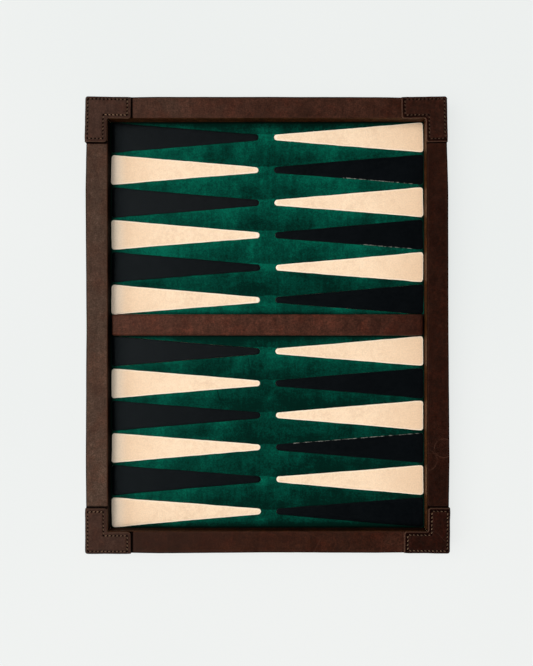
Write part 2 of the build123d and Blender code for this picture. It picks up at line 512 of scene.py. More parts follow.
ROW_START = 29.3
ROW_PITCH = 36.7
BAND_TONES = ((45.0, -0.24), (83.0, 0.1))
GREEN_SHADOW = (0.0003, 0.002, 0.0014)
GREEN_DEEP = (0.0004, 0.0085, 0.0055)
GREEN_MIDDLE = (0.0006, 0.035, 0.0222)
GREEN_BRIGHT = (0.0012, 0.1, 0.06)
GREEN_SCRATCH = (0.0002, 0.006, 0.004)
GREEN_RAW = (0.0006, 0.012, 0.007)


def green_bands(f, y):
    """How bright the dye is: each band is bright under the row above it and dark at its foot."""
    warp = f.cloud(14, -0.8 * MM, 0.8 * MM, 2, 0.5)
    from_row = f.minus(f.plus(y, warp), f.times(f.math("SIGN", y), ROW_START * MM))
    band = f.math("FRACT", f.minus(f.math("DIVIDE", from_row, ROW_PITCH * MM), 0.1))
    level = f.fit(band, 0.02, 1.0, 0.24, 0.66)
    for middle, shift in BAND_TONES:
        off_middle = f.math("ABSOLUTE", f.minus(y, middle * MM))
        level = f.plus(level, f.fit(off_middle, 0.012, 0.026, shift, 0.0))
    return level


def green_regions(f, x, y):
    """What is added to the green's level for where a place is on the board: darker to the south, the
    south-east and the south half's middle, lighter to the sides and the west.
    """
    off_centre = f.math("ABSOLUTE", x)
    south = f.fit(y, -0.02, 0.0, -0.12, 0.0)
    sides = f.fit(off_centre, 0.02, 0.12, 0.0, 0.1)
    west = f.fit(x, -0.11, -0.05, 0.07, 0.0)
    south_east = f.times(f.fit(x, -0.01, 0.09), f.fit(y, -0.08, -0.03, -0.3, 0.0))
    middle = f.times(f.fit(y, -0.07, -0.03, 1.0, 0.0), f.fit(off_centre, 0.012, 0.05, -0.2, 0.0))
    middle = f.times(middle, f.cloud(30, 0.3, 1.0, 2, span=(0.35, 0.6)))
    return f.plus(south, sides, west, south_east, middle)


def green_leather():
    """Hand-dyed green in bands, with clouds, fine brush marks and deep shade beside the walls."""
    f = Finish("field_leather")
    x, y = f.across()
    clouds = f.cloud(48, -0.2, 0.2, 3, 0.5, 0.5)
    dapple = f.cloud(13, -0.11, 0.11, 4, 0.6, 0.6)
    strokes = f.cloud(5.0, -0.08, 0.08, 3, 0.65, 0.5, f.stretched((1.0, 0.12, 1.0), 0.6))
    strokes_back = f.cloud(4.0, -0.05, 0.05, 3, 0.65, 0.5, f.stretched((0.14, 1.0, 1.0), 0.2))
    grain = f.cloud(1.5, -0.26, 0.26, 3, 0.75)
    beside_points = f.fit(f.mark("near"), 0.0, 3.5, 0.07, 0.0)
    beside_walls = f.fit(f.mark("wall"), 1.5, 9.0, -0.42, 0.0)
    level = f.plus(green_bands(f, y), clouds, dapple, strokes, strokes_back, grain)
    level = f.plus(level, beside_points, green_regions(f, x, y), beside_walls)
    colour = f.mix(f.fit(level, -0.1, 0.45), GREEN_DEEP, GREEN_MIDDLE)
    colour = f.mix(f.fit(level, 0.35, 1.05), colour, GREEN_BRIGHT)
    colour = f.mix(f.mark("scratch"), colour, GREEN_SCRATCH)
    colour = f.mix(f.fit(f.mark("wall"), 0.8, 2.6, 0.9, 0.0), colour, GREEN_SHADOW)
    colour = f.mix(f.mark("raw"), colour, GREEN_RAW)
    rough = f.cloud(6, 0.5, 0.64, 4)
    sheen = {"Specular_IOR_Level": 0.1, "Specular_Tint": (0.08, 1.0, 0.74)}
    return f.finish(colour, rough, leather_grain(f, 0.6, 0.03), **sheen)


def cream_leather():
    """Natural vegetable-tanned leather with faint warm blotches, fine pores and a few specks."""
    f = Finish("cream_point_leather")
    x, _ = f.across()
    blotches = f.cloud(26, 0.0, 1.0, 4, 0.6, 0.6, span=(0.35, 0.72))
    tint = f.cloud(5, 0.0, 1.0, 4, 0.65, 0.4, span=(0.35, 0.7))
    pores = f.fit(f.cells(1.1), 0.05, 0.3, 0.5, 0.0)
    grain = f.cloud(1.6, 0.0, 1.0, 3, 0.75, span=(0.35, 0.65))
    specks = f.fit(f.cells(9.0), 0.015, 0.04, 0.7, 0.0)
    # Painted shade: darker towards the bases near the walls
    to_base = f.fit(f.math("ABSOLUTE", x), 0.1, 0.175, 0.0, 0.75)
    rim = f.fit(f.mark("near"), 0.4, 1.7, 0.8, 0.0)
    colour = f.mix(blotches, (0.885, 0.655, 0.445), (0.8, 0.572, 0.378))
    colour = f.mix(f.times(tint, 0.7), colour, (0.93, 0.72, 0.51))
    colour = f.mix(to_base, colour, (0.79, 0.555, 0.36))
    # Painted light: paler at the west ends, against the west wall's shadow
    colour = f.mix(f.fit(x, -0.176, -0.157), (0.98, 0.815, 0.63), colour)
    colour = f.mix(1.0, colour, f.fit(grain, 0.0, 1.0, 1.03, 0.94), "MULTIPLY")
    colour = f.mix(f.times(pores, 0.4), colour, (0.68, 0.45, 0.27))
    colour = f.mix(specks, colour, (0.42, 0.22, 0.1))
    # Painted highlight along the cut edges
    colour = f.mix(rim, colour, (0.95, 0.82, 0.66))
    colour = f.mix(f.mark("raw"), colour, (0.36, 0.22, 0.12))
    return f.finish(colour, f.cloud(7, 0.48, 0.62, 4), leather_grain(f, 0.55, 0.03), Specular_IOR_Level=0.3)


def black_leather():
    """Dyed-through black leather with a dull, slightly blue sheen. Its tone mark makes it a little paler, a
    painted sheen, held back beside the west wall as painted shade.
    """
    f = Finish("black_point_leather")
    # Painted shade: the paler tone is held back beside the west wall
    off_wall = f.fit(f.across()[0], -0.172, -0.155)
    grain = f.cloud(1.5, 0.0, 0.8, 3, 0.75, span=(0.35, 0.65))
    frayed = f.times(f.mark("pale_cut"), f.cloud(4.0, 0.0, 1.0, 3, 0.6, span=(0.42, 0.56)))
    colour = f.mix(f.cloud(30, 0.0, 1.0, 4, 0.6, 0.5), (0.0002, 0.0006, 0.0011), (0.001, 0.0016, 0.0024))
    colour = f.mix(grain, colour, (0.0001, 0.0003, 0.0007))
    colour = f.mix(f.times(f.mark("tone"), off_wall), colour, (0.0024, 0.0022, 0.0021), "ADD")
    colour = f.mix(f.mark("raw"), colour, (0.006, 0.006, 0.006))
    colour = f.mix(frayed, colour, (0.3, 0.3, 0.26))
    rough = f.cloud(3, 0.34, 0.53, 5, 0.7)
    sheen = {"Specular_IOR_Level": 0.125, "Specular_Tint": (0.76, 0.94, 1.0)}
    return f.finish(colour, rough, leather_grain(f, 0.6, 0.035), **sheen)


def waxed_thread():
    """Waxed linen, from dull brown to tan, with painted shade in the gaps between its fibres."""
    f = Finish("waxed_thread")
    fibre = f.noise(0.35, 4, 0.7)
    level = f.plus(f.mark("tone"), f.cloud(6, -0.25, 0.25))
    colour = f.mix(level, (0.035, 0.018, 0.01), (0.24, 0.15, 0.085))
    colour = f.mix(f.fit(fibre, 0.35, 0.75, 0.0, 0.7), colour, (0.03, 0.017, 0.01))
    return f.finish(colour, f.fit(fibre, 0.3, 0.7, 0.6, 0.8), f.bump(fibre, 0.12), Specular_IOR_Level=0.15)


def suede():
    """Napped suede lining: soft tufts, brushed darker and lighter."""
    f = Finish("underside_suede")
    nap = f.noise(0.8, 4, 0.75)
    brushed = f.cloud(35, 0.0, 1.0, 5, 0.65, 1.0, span=(0.35, 0.7))
    colour = f.mix(brushed, (0.045, 0.026, 0.018), (0.085, 0.052, 0.036))
    colour = f.mix(f.fit(nap, 0.3, 0.7), colour, (0.03, 0.017, 0.012))
    normal = f.bump(nap, 0.4, f.bump(f.noise(12, 3), 0.5))
    return f.finish(colour, f.fit(nap, 0.3, 0.7, 0.82, 0.95), normal, Specular_IOR_Level=0.1)


def plain_wood(name, early, late, along, ring_gap, painted_gap_shade=None):
    """Straight-grained wood; along is the axis that the grain runs on. The last argument gives where it is
    painted black as shade.
    """
    f = Finish(name)
    stretch = [1.0, 1.0, 1.0]
    stretch[along] = 0.05
    place = f.stretched(tuple(stretch))
    rings = f.noise(ring_gap, 4, 0.6, 1.5, place)
    pores = f.fit(f.noise(0.7, 3, 0.6, 0.0, place), 0.52, 0.68)
    colour = f.mix(f.fit(rings, 0.35, 0.65), early, late)
    colour = f.mix(f.times(pores, 0.5), colour, tuple(0.55 * part for part in late))
    colour = f.mix(f.cloud(50, 0.0, 0.3), colour, early)
    if painted_gap_shade is not None:
        # Painted shade: black where the panel shows in a gap
        colour = f.mix(painted_gap_shade(f), colour, (0.004, 0.0025, 0.002))
    normal = f.bump(pores, 0.08, f.bump(rings, 0.12))
    return f.finish(colour, f.fit(rings, 0.3, 0.7, 0.55, 0.68), normal, Specular_IOR_Level=0.35)


def beside_bar(f):
    """Where the base panel shows in the gaps at the bar's two ends, which are painted black as shade."""
    x, y = f.across()
    past_bar = f.fit(f.math("ABSOLUTE", x), 0.168, 0.17)
    return f.times(past_bar, f.fit(f.math("ABSOLUTE", y), 0.014, 0.016, 1.0, 0.0))


def zinc_steel():
    """Zinc-plated steel with turning marks and dull bloom."""
    f = Finish("screw_steel")
    bloom = f.noise(2.2, 4, 0.65)
    marks = f.noise(0.5, 2, 0.5, 0.0, f.stretched((1.0, 1.0, 6.0)))
    colour = f.mix(f.fit(bloom, 0.3, 0.7), (0.5, 0.5, 0.47), (0.66, 0.65, 0.6))
    return f.finish(colour, f.fit(bloom, 0.3, 0.7, 0.25, 0.42), f.bump(marks, 0.03), Metallic=1.0)


RAIL_LEATHER = brown_leather("rail_leather", RAIL_TONES, RAIL_RUBBED_AND_HIGHLIGHT, RAIL_RAW, rings=RINGS)
# Matt copy for painted shade: no sheen where the dark mark is strongest
RAIL_SHADED = brown_leather("rail_leather_painted_shade", RAIL_TONES, RAIL_RUBBED_AND_HIGHLIGHT, RAIL_RAW, gloss=0.03)
# Lit copy of the rail leather for the well side: painted light in its colours, and low gloss
WELL_LEATHER = brown_leather("rail_leather_well_side", WELL_LIT_TONES, WELL_RUBBED_AND_HIGHLIGHT, RAIL_RAW, gloss=0.08)
PATCH_LEATHER = brown_leather("patch_leather", PATCH_TONES, PATCH_RUBBED, PATCH_RAW, red=0.8)
# Matt copy for painted shade on the patches
PATCH_SHADED = brown_leather("patch_leather_painted_shade", PATCH_TONES, PATCH_RUBBED, PATCH_RAW, gloss=0.03)
BAR_LEATHER = brown_leather("bar_leather", BAR_TONES, BAR_RUBBED, RAIL_RAW)
FIELD_LEATHER = green_leather()
CREAM_LEATHER = cream_leather()
BLACK_LEATHER = black_leather()
THREAD = waxed_thread()
SUEDE = suede()


# ---------------------------------------------------------------- inlaid points and fields

POINT_WIDTH = 33.5
POINT_CORNER = 3.0
POINT_TIP = 3.4
CUT_GAP = 0.16
CUT_RINGS = (0.12, 0.3, 0.6)
FIELD_GAP = 0.15
BAR_SIDE = 20.0
BAR_SIDE_LIGHT = 3.5
# Tone marks of some black points: a paler base, painted sheen standing in for the west light, in a different
# amount on each point
BLACK_PAINTED_SHEEN = {16: 0.2, 18: 0.8, 20: 0.2, 22: 0.9, 24: 0.6}

# Frayed pale cuts of black points: the side (1 is north) and where they start and end along x
PALE_CUTS = {2: (-1, 85, 165), 4: (-1, 105, 165), 10: (1, 30, 171)}

# Scratches in the green: start, end and depth
SCRATCHES = (
    ((-16, -14), (-6, -29), 0.7),
    ((-23, -34), (-17, -57), 0.8),
    ((-59, -70), (-52, -87), 1.0),
    ((-27, -97), (-21, -121), 0.7),
    ((12, -92), (20, -106), 0.4),
    ((52, -104), (60, -118), 0.4),
    ((-33, -148), (-22, -196), 0.45),
    ((-30, 40), (-29, 26), 0.4),
    ((5, 186), (9, 170), 0.35),
    ((70, 112), (84, 106), 0.4),
    ((-96, -120), (-84, -126), 0.4),
)


def point_shape(length):
    """Outline of a point with its base on x = 0 and its tip on +x, counter-clockwise."""
    corner = np.array([POINT_CORNER, POINT_WIDTH / 2 - POINT_CORNER])
    tip = np.array([length - POINT_TIP, 0.0])
    run = tip - corner
    lean = math.atan2(run[1], run[0]) + math.acos((POINT_CORNER - POINT_TIP) / np.linalg.norm(run))
    upper = np.vstack([arc(tip, POINT_TIP, 0, lean, 12), arc(corner, POINT_CORNER, lean, math.pi, 7)])
    lower = (upper * (1, -1))[:0:-1]
    return refine(np.vstack([upper, lower]), 1.6)


def hand_cut(loop, length, number, tip_along, tip_side, base_side):
    """The outline with the slips of a hand-held knife: a slanted base, soft shoulders and wavy sides.

    tip_along and tip_side move the tip, and base_side the base, off the ruled line."""
    draw = random.Random(number)
    slant = draw.uniform(-0.5, 0.5)
    bulge = draw.uniform(-0.35, 0.3)
    bend = draw.uniform(-0.35, 0.35)
    shoulder = draw.uniform(0.0, 0.45)
    x, y = loop.T
    across = y / (POINT_WIDTH / 2)
    share = x / length
    moved = loop.copy()
    moved[:, 0] += ramp(1 - x / 9) ** 2 * (slant * across - bulge * (1 - across**2) + 0.15)
    moved[:, 0] += tip_along * share
    moved[:, 1] += tip_side * share + base_side * (1 - share) + bend * np.sin(math.pi * share)
    moved[:, 1] += np.sign(y) * shoulder * hill(x - 11, 7)
    wave = 0.24 * noise_at(loop, 16, number) + 0.1 * noise_at(loop, 4.5, number + 50)
    moved += outward(loop) * wave[:, None]
    moved[:, 0] = np.maximum(moved[:, 0], -0.4)
    return moved


def point_outline(number):
    """Outline of one point on the board. The tips and bases wander along smooth curves up the board."""
    low, high = box_mm(f"point_{number:02d}")
    east = low[0] > 0
    length = high[0] - low[0]
    middle = (low[1] + high[1]) / 2
    sign = -1 if east else 1
    tip_along = sign * (0.1 - middle * 0.006 + 1.1 * hill(middle - 70, 50))
    tip_side = sign * -1.1 * math.sin(math.pi * (212 - middle) / 314)
    base_side = sign * -0.5 * math.sin(math.pi * (212 - middle) / 424)
    loop = hand_cut(point_shape(length), length, number, tip_along, tip_side, base_side)
    return np.array([high[0] if east else low[0], middle]) + sign * loop


def pale_cut(number, spots, distance, middle):
    """Which points lie on the frayed pale cut of a black point."""
    side, start, end = PALE_CUTS.get(number, (1, FAR, FAR))
    reach = np.abs(spots[:, 0])
    return ((spots[:, 1] - middle) * side > 0) & (distance < 0.3) & (reach > start) & (reach < end)


def make_point(number, outline):
    """One inlaid point: cut edges rounded over, the face crowned a little."""
    node = f"point_{number:02d}"
    low, high = box_mm(node)
    spots, faces = flat_mesh(outline, [], CUT_RINGS, 4.0)
    distance = distance_to(spots, segments_of(outline))
    upper = high[2] - cut_edge(distance, 0.32, 0.6) + 0.05 * noise_at(spots, 22, number)
    marks = {"near": two_skins(distance), "raw": two_skins(ramp(1 - distance / 0.3), 1.0)}
    material, slot = CREAM_LEATHER, "cream_point_leather"
    if number % 2 == 0:
        material, slot = BLACK_LEATHER, "black_point_leather"
        marks["pale_cut"] = two_skins(pale_cut(number, spots, distance, (low[1] + high[1]) / 2))
        marks["tone"] = np.full(2 * len(spots), BLACK_PAINTED_SHEEN.get(number, 0.0))
    points, solid = flat_sheet(spots, faces, upper, low[2])
    make_piece(f"point_inlay_{number:02d}", points, solid, material, [node], marks)


def scratch_lines():
    """Each scratch's start, direction, direction sideways, length and depth."""
    for start, end, depth in SCRATCHES:
        start, end = np.array(start, float), np.array(end, float)
        length = np.linalg.norm(end - start)
        ahead = (end - start) / length
        yield start, ahead, np.array([-ahead[1], ahead[0]]), length, depth


def scratch_sway(step):
    """How far a scratch wanders sideways."""
    return 0.5 * np.sin(step * 0.37)


def scratch_spots():
    """Points close together along each scratch, so that the field's mesh can carry it."""
    found = []
    for start, ahead, side, length, _ in scratch_lines():
        for step in range(int(length)):
            for shift in (-0.8, -0.3, 0.0, 0.3, 0.8):
                found.append(start + ahead * step + side * (scratch_sway(step) + shift))
    return np.array(found)


def scratch_depth(spots):
    """How deep each point lies in a scratch, 0 to 1."""
    deep = np.zeros(len(spots))
    for start, ahead, side, length, depth in scratch_lines():
        step = (spots - start) @ ahead
        off = (spots - start) @ side - scratch_sway(step)
        ends = ramp(step / 5) * ramp((length - step) / 5)
        deep = np.maximum(deep, depth * ends * hill(off, 0.45))
    return deep


def box_corners(low, high, radius):
    """Corners of a box seen from above, for rounded_loop."""
    spots = [(low[0], low[1]), (high[0], low[1]), (high[0], high[1]), (low[0], high[1])]
    return [(*spot, radius) for spot in spots]


def make_field(side, windows):
    """One green field, with a window for each of its points."""
    node = f"{side}_field_leather"
    low, high = box_mm(node)
    outline = rounded_loop(box_corners(low + FIELD_GAP, high - FIELD_GAP, 0), 3.0)
    holes = [window + outward(window) * CUT_GAP for window in windows]
    spots, faces = flat_mesh(outline, holes, CUT_RINGS, 3.2, scratch_spots())
    distance = distance_to(spots, np.vstack([segments_of(hole) for hole in holes]))
    scratch = scratch_depth(spots)
    wave = 0.07 * noise_at(spots, 26, 3 if side == "north" else 4)
    upper = high[2] - cut_edge(distance, 0.28, 0.6) + wave - 0.3 * scratch
    wall = distance_to(spots, segments_of(outline))
    if side == "north":
        wall = np.where(spots[:, 1] < low[1] + BAR_SIDE, wall + BAR_SIDE_LIGHT, wall)
    marks = {
        "near": two_skins(distance),
        "wall": two_skins(wall),
        "scratch": two_skins(scratch),
        "raw": two_skins(ramp(1 - distance / 0.25), 1.0),
    }
    points, solid = flat_sheet(spots, faces, upper, low[2])
    make_piece(f"{side}_field", points, solid, FIELD_LEATHER, [node], marks)


def make_playing_surface():
    """Both fields and all 24 points."""
    outlines = {number: point_outline(number) for number in range(1, 25)}
    for number, outline in outlines.items():
        make_point(number, outline)
    for side, sign in (("north", 1), ("south", -1)):
        make_field(side, [outline for outline in outlines.values() if outline[:, 1].mean() * sign > 0])


# ---------------------------------------------------------------- rails

LEATHER = 2.4
FLANGE = 1.2
OUTER_ROUND = 1.6
WELL_ROUND = 1.0
MITRE_GAP = 0.08
MITRE_LENGTH = 32.0
PATCH_LEG = 49.8
CORNER_TUCK = 1.1
SEAM_STATIONS = (-2.4, -1.6, -1.1, -0.7, -0.3, 0.1, 0.6, 1.2)
WELL_SHADE = {"north": 0.35, "south": 0.75, "east": 0.0, "west": 1.0}
WELL_FADE = {"north": 4.0, "south": 4.0, "east": 4.0, "west": 1.0}
# Painted light of each well wall, brightest on the east wall, which faces the west window
WELL_PAINTED_LIGHT = {"north": 0.8, "south": 0.5, "east": 1.0, "west": 0.8}
LIP_SHADE = {"north": 0.2, "south": 0.3, "east": 0.75, "west": 0.0}
# How much each rail's inner bend is lightened: rubbing, and on the west rail also a painted highlight
LIP_WEAR_AND_HIGHLIGHT = {"north": 0.3, "south": 0.3, "east": 0.3, "west": 0.8}
EDGE_SHADE = {"north": 0.85, "south": 0.95, "east": 1.0, "west": 0.6}

# Pairs are for a rail's west or south end, then for its east or north end
SEAM_SHADE = {"north": (1.0, 0.3), "south": (1.0, 0.25), "east": (0.9, 0.9), "west": (0.9, 0.95)}
RAIL_TONE = {"north": (1.25, 0.6), "south": (0.1, 0.8), "east": (-0.02, 0.36), "west": (1.58, 1.35)}
RAIL_SHADE = {"north": (0.0, 0.0), "south": (0.0, 0.0), "east": (0.0, 0.0), "west": (0.0, 0.26)}

# How far each rail bows outwards at five places from end to end
RAIL_BOW = {
    "north": (0.0, 0.45, 0.25, -0.1, -0.7),
    "south": (0.4, 1.0, 0.1, 0.55, 0.3),
    "east": (0.5, 1.3, 0.4, 0.2, -1.3),
    "west": (0.6, 1.05, 0.15, 1.1, 0.0),
}


def run(start, end, count):
    """Points from start to end without the ends."""
    return np.linspace(start, end, count + 1)[1:-1]


def rail_profile(width, bottom, top, floor, flange):
    """Closed cross-section of a wrapped rail as (inward, z) points, and how many belong to its outside."""
    outer, well, quarter = OUTER_ROUND, WELL_ROUND, math.pi / 2
    skin = np.vstack([
        (flange, bottom),
        run((flange, bottom), (outer, bottom), 5),
        arc((outer, bottom + outer), outer, 3 * quarter, 2 * quarter, 5),
        run((0, bottom + outer), (0, top - outer), 9),
        arc((outer, top - outer), outer, 2 * quarter, quarter, 7),
        run((outer, top), (width - well, top), 18),
        arc((width - well, top - well), well, quarter, 0, 6),
        run((width, top - well), (width, floor), 7),
        (width, floor),
    ])
    inner = [
        (width - LEATHER, floor),
        (width - LEATHER, top - LEATHER),
        (LEATHER, top - LEATHER),
        (LEATHER, bottom + FLANGE),
        (flange, bottom + FLANGE),
    ]
    return np.vstack([skin, inner]), len(skin)


class Rail:
    """The leather pulled round one rail's core: mitred at its ends, slightly uneven under the hand."""

    def __init__(self, side, seed):
        self.side = side
        self.seed = seed
        self.node = f"{side}_rail_leather"
        low, high = box_mm(self.node)
        panel = box_mm("base_panel")[1]
        self.axis = 1 if side in ("east", "west") else 0
        self.cross = 1 - self.axis
        self.sign = 1 if side in ("north", "east") else -1
        self.face = high[self.cross] if self.sign > 0 else -low[self.cross]
        self.width = self.face - (low[self.cross] if self.sign > 0 else -high[self.cross])
        self.bottom, self.top = low[2], high[2]
        self.half = high[self.axis]
        flange = self.face - panel[self.cross]
        self.profile, self.skin = rail_profile(self.width, self.bottom, self.top, panel[2], flange)
        self.stations = self.find_stations()
        self.points = self.sweep()
        rows = len(self.stations)
        self.u, self.z = np.tile(self.profile, (rows, 1)).T
        self.outside = np.tile(np.arange(len(self.profile)) < self.skin, rows)
        self.place = self.points[:, self.axis].copy()
        self.past_patch = self.half - PATCH_LEG - np.abs(self.place)
        self.seam_shade = np.where(self.place > 0, SEAM_SHADE[side][1], SEAM_SHADE[side][0])

    def find_stations(self):
        """Places along the rail, in -1..1, close together where the patches end."""
        found = list(np.linspace(-1, 1, int(2 * self.half / 3.2) + 1))
        for shift in SEAM_STATIONS:
            place = (self.half - PATCH_LEG + shift) / self.half
            found += [place, -place]
        return np.array(sorted(found))

    def sweep(self):
        """The profile at every station; the last stations fan out to meet the mitres."""
        inward, height = self.profile.T
        reach = np.abs(self.stations)[:, None] * self.half
        to_mitre = ramp((reach - self.half + MITRE_LENGTH) / MITRE_LENGTH)
        along = np.minimum(reach, self.half - MITRE_LENGTH) + to_mitre * (MITRE_LENGTH - MITRE_GAP - inward)
        points = np.zeros((len(self.stations), len(self.profile), 3))
        points[:, :, self.axis] = np.sign(self.stations)[:, None] * along
        points[:, :, self.cross] = self.sign * (self.face - inward)
        points[:, :, 2] = height
        return points.reshape(-1, 3)

    def from_end_to_end(self, pair):
        """A value that changes evenly from the rail's low end to its high end."""
        return pair[0] + (pair[1] - pair[0]) * (self.place / self.half + 1) / 2

    def roughen(self):
        """Uneven swelling, a crease beside each bend, a groove at the patch ends and the rail's bow."""
        u, z, outside, width = self.u, self.z, self.outside, self.width
        clear = ramp((self.half - 54 - np.abs(self.place)) / 12)
        swell = 0.16 * noise_at(self.points, 34, self.seed) + 0.07 * noise_at(self.points, 9, self.seed + 20)
        upper = outside & (z > self.top - 0.4) & (u > 1) & (u < width - 0.6)
        outer_side = outside & (u < 0.5) & (z > self.bottom + 1)
        well_side = outside & (u > width - 0.3) & (z < self.top - 1)
        crease = 0.1 * hill(u - 2.3, 0.45) + 0.07 * hill(u - width + 1.9, 0.5)
        groove = 0.55 * self.seam_shade * hill(self.past_patch - 0.4, 0.6)
        self.points[:, 2] += upper * (swell * clear - crease * (0.4 + 0.6 * clear) - groove)
        sideways = 0.8 * outer_side * swell * clear - 0.6 * well_side * np.abs(swell) * clear
        seam = self.half - PATCH_LEG + 1
        spans = [-self.half, -seam, -0.6 * self.half, 0, 0.6 * self.half, seam, self.half]
        bow = np.interp(self.place, spans, np.pad(RAIL_BOW[self.side], 1, mode="edge"))
        bow -= CORNER_TUCK * ramp((np.abs(self.place) - self.half + 5) / 5)
        self.points[:, self.cross] += self.sign * (sideways + bow * outside * ramp(1 - u / 14))

    def wear_and_highlight(self):
        """Where the leather is lighter: rubbed on both bends of its top and the crease beside the outer one,
        and on the inner bend partly a painted highlight, strongest on the west rail.
        """
        u, z, top = self.u, self.z, self.top
        bend_out = hill(u - 0.9, 0.9) * (z > top - 1.2)
        bend_in = hill(u - self.width + 0.5, 0.55) * (z > top - 0.9)
        line = hill(u - 2.3, 0.4) * (z > top - 0.5)
        return ramp(0.2 * bend_out + LIP_WEAR_AND_HIGHLIGHT[self.side] * bend_in + 0.4 * line) * self.outside

    def dark(self):
        """Painted shade: on the well side and at its foot, along the lip, on the outer bend and beside the
        patch ends; the west rail is also darker towards its north end.
        """
        side, u, z, top, width = self.side, self.u, self.z, self.top, self.width
        well = (u > width - 0.6) * ramp((top - 0.6 - z) / WELL_FADE[side]) * WELL_SHADE[side]
        lip = LIP_SHADE[side] * hill(u - width + 0.35, 0.5) * (z > top - 1.4)
        foot = 0.7 * (u > width - 0.3) * ramp((12.5 - z) / 2)
        edge = EDGE_SHADE[side] * ramp((1.5 - u) / 0.7) * ramp(1 - (top - z - 1) / 9, 0.25)
        seam = self.seam_shade * hill(ramp(self.past_patch - 1.2, 0, FAR), 0.7)
        seam = seam * (z > top - 0.5) * (self.past_patch > -1.5)
        shade = self.from_end_to_end(RAIL_SHADE[side]) + np.maximum(np.maximum(well, lip), foot) + edge + seam
        return ramp(shade * self.outside)

    def make(self):
        """The finished piece."""
        self.roughen()
        tone = self.from_end_to_end(RAIL_TONE[self.side])
        # The well side takes its wall's painted light
        tone = np.where(self.u > self.width - 0.6, WELL_PAINTED_LIGHT[self.side], tone)
        marks = {"wear_and_highlight": self.wear_and_highlight(), "dark": self.dark(), "raw": np.zeros(len(self.u)), "tone": tone}
        faces = swept_faces(len(self.stations), len(self.profile))
        name, nodes = f"{self.side}_rail", [self.node]
        piece = make_piece(name, self.points, faces, RAIL_LEATHER, nodes, marks, sharp=50)
        piece.data.materials.append(WELL_LEATHER)
        for polygon in piece.data.polygons:
            inward = self.face - self.sign * polygon.center[self.cross] / MM
            on_well_side = inward > self.width - 0.55 and polygon.center[2] / MM < self.top - 0.4
            polygon.material_index = int(on_well_side)
        matt_where_dark(piece, RAIL_SHADED, self.top)


# ---------------------------------------------------------------- folded covers: corner patches and bar

SAME_PLACE = 1e-4


def at_corner(spots, box):
    """Which flat points lie past two sides of the box, where two folds meet."""
    low, high = box
    return ((spots > high - SAME_PLACE) | (spots < low + SAME_PLACE)).all(1)


def rounded(points, box, top, radius, height):
    """Points on a box moved out to a rounded box with the given extra height."""
    low, high = box
    core = np.clip(points, [*(low + radius), -FAR], [*(high - radius), top - radius])
    return core + unit(points - core) * (radius + height)[:, None]


def fold_cover(outline, spots, faces, box, top, radius, thickness, relief):
    """Points and faces of a leather cover bent over a box's edges, and each point's distance to a cut edge.

    relief gives the outer skin's height from the bent points and that distance."""
    over = at_corner(outline, box)
    distance = distance_to(spots, segments_of(outline)[~(over & np.roll(over, -1))])
    held = np.clip(spots, *box)
    bent = np.column_stack([held, top - np.abs(spots - held).sum(1)])
    outer = rounded(bent, box, top, radius, relief(bent, distance))
    inner = rounded(bent, box, top, radius, np.full(len(spots), -thickness))
    over = at_corner(spots, box)
    rim = [(a, b) for a, b in rim_of(faces) if not (over[a] and over[b])]
    return *closed_solid(outer, inner, faces, rim), distance


PATCH_ROUND = 3.0
PATCH_THICK = 1.2
PATCH_TONE = {"ne": 0.5, "nw": 0.9, "sw": 0.85, "se": 0.05}
PATCH_SHIFT = {"ne": (-2.2, -0.4, 0), "nw": (0, 0, 0), "sw": (-0.7, -0.5, 0), "se": (0.4, -0.4, 0)}
PATCH_TURN = {"ne": 1.0, "nw": -1.0, "sw": 0.0, "se": -0.6}
MARGIN_SHADE = {"ne": 0.7, "nw": 0.15, "sw": 0.2, "se": 0.75}
THREAD_TONE = {
    "ne": (0.0, 0.12, 0.15, 0.05, 0.15, 0.15),
    "nw": (0.25, 0.35, 1.0, 0.2, 0.3, 0.2),
    "sw": (0.5, 0.5, 0.6, 0.5, 0.6, 0.5),
    "se": (0.5, 0.7, 0.35, 0.65, 0.35, 0.4),
}
STITCH_INSET = 3.6
STITCH_PITCH = 4.23
STITCH_LENGTH = 3.4
STITCH_LEAN = math.radians(20)
THREAD_RADIUS = 0.4
THREAD_RINGS, THREAD_AROUND = 11, 10


def needle_rows(corners):
    """For each straight run of stitches: its first hole, its direction and its number of stitches."""
    rows = []
    for start, end in zip(corners, np.roll(corners, -1, 0)):
        length = np.linalg.norm(end - start)
        along = (end - start) / length
        count = int(length / STITCH_PITCH)
        first = start + along * (length - count * STITCH_PITCH) / 2
        rows.append((first, along, count))
    return rows


def beside_stitches(rows):
    """Points close together across the stitch line, no two of them in one cell of a fine grid."""
    found = []
    for first, along, count in rows:
        side = np.array([-along[1], along[0]])
        for index in range(-2, count * 8 + 3):
            spot = first + along * STITCH_PITCH * index / 8
            found += [spot + side * shift for shift in (-1.5, -0.9, -0.4, 0.0, 0.4, 0.9, 1.5)]
    found = np.array(found)
    kept = np.unique(np.round(found / 0.25).astype(int), axis=0, return_index=True)[1]
    return found[np.sort(kept)]


